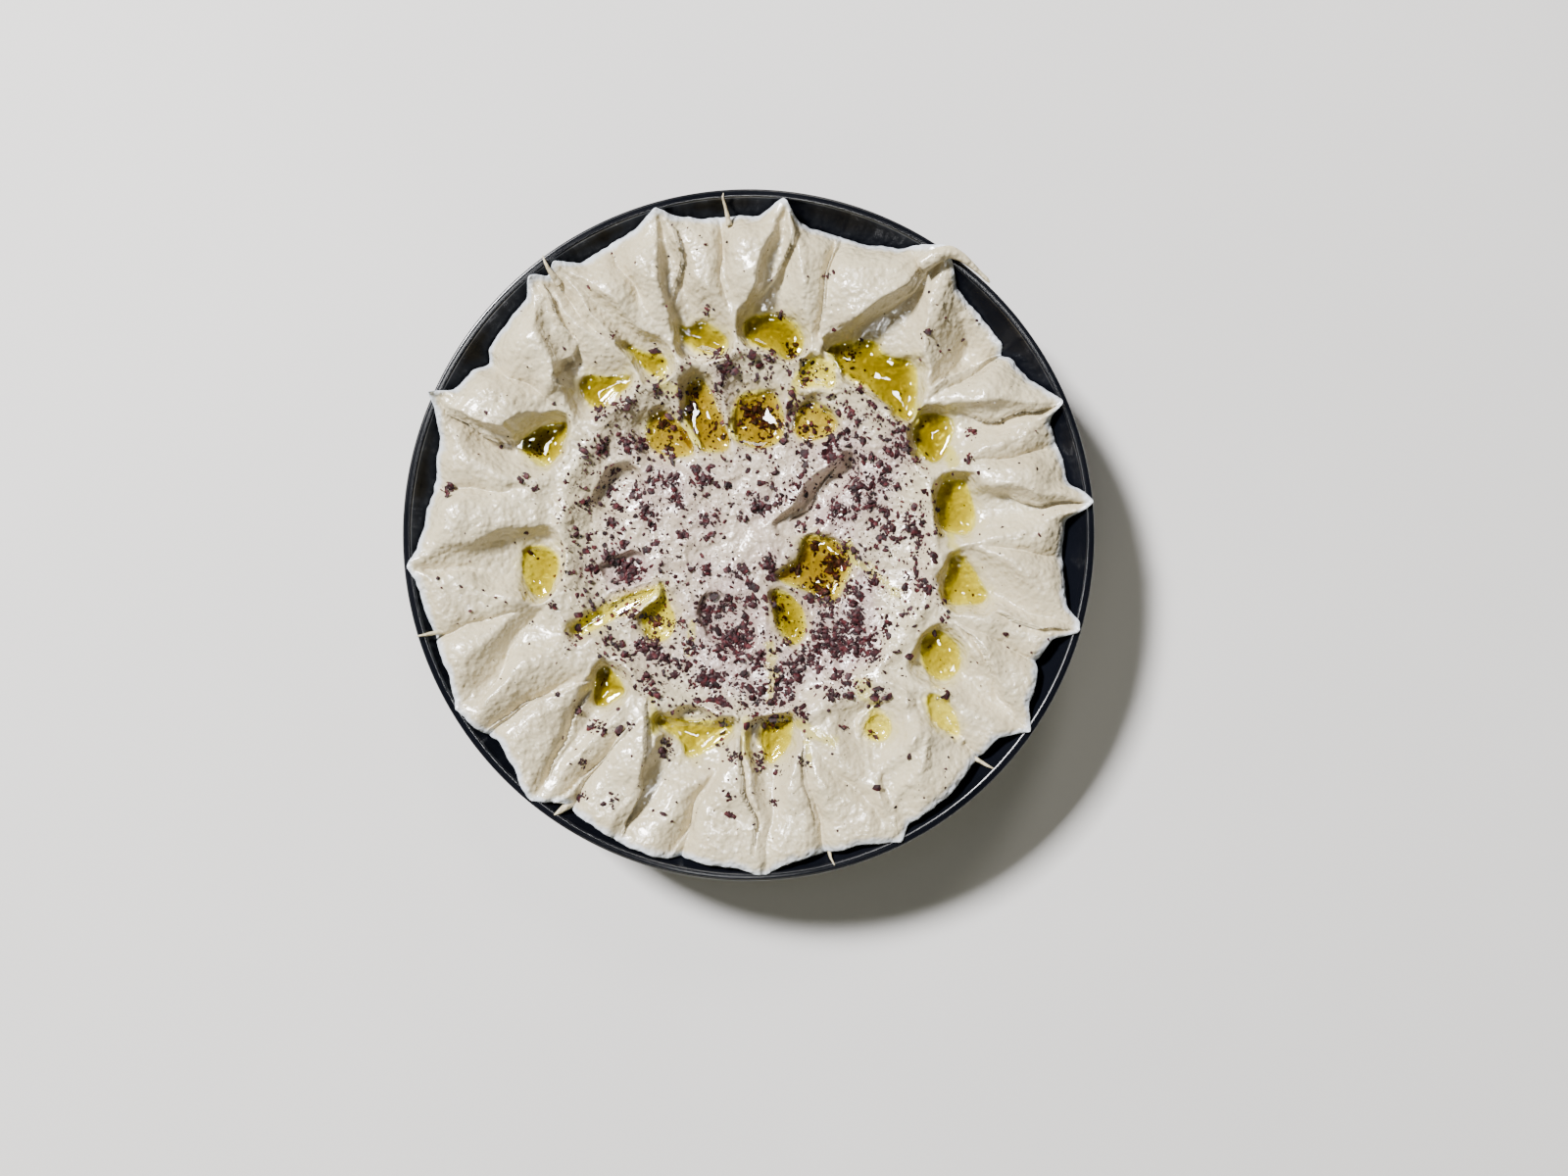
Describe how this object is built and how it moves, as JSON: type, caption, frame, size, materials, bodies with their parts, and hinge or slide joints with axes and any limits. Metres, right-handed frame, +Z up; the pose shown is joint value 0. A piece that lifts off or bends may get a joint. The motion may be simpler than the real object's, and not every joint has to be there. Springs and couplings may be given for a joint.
{
  "type": "hummus in a dish",
  "caption": "Shallow round black dish filled with hummus, spooned into rings of strokes and rim spikes, with olive oil pools and sumac.",
  "frame": {"origin": "middle of the dish's foot, on the surface it stands on", "axes": "+Z up; +X and +Y level, with the drooping spike 56 degrees from +X towards +Y"},
  "size_m": [0.2, 0.2, 0.0466],
  "materials": {
    "dish": "glossy black",
    "hummus": "moist, off-white",
    "oil": "clear yellow-green liquid"
  },
  "bodies": {
    "root": {"dish": "dish", "hummus": "hummus", "oil_outer_1": "oil", "oil_outer_2": "oil", "oil_outer_3": "oil", "oil_outer_4": "oil", "oil_outer_5": "oil", "oil_outer_6": "oil", "oil_outer_7": "oil", "oil_outer_8": "oil", "oil_outer_9": "oil", "oil_outer_11": "oil", "oil_outer_12": "oil", "oil_outer_13": "oil", "oil_outer_14": "oil", "oil_outer_15": "oil", "oil_outer_16": "oil", "oil_inner_1": "oil", "oil_inner_2": "oil", "oil_inner_3": "oil", "oil_inner_4": "oil", "oil_inner_5": "oil", "oil_inner_8": "oil", "oil_inner_9": "oil", "oil_inner_11": "oil", "oil_inner_12": "oil", "oil_inner_14": "oil"}
  },
  "joints": []
}
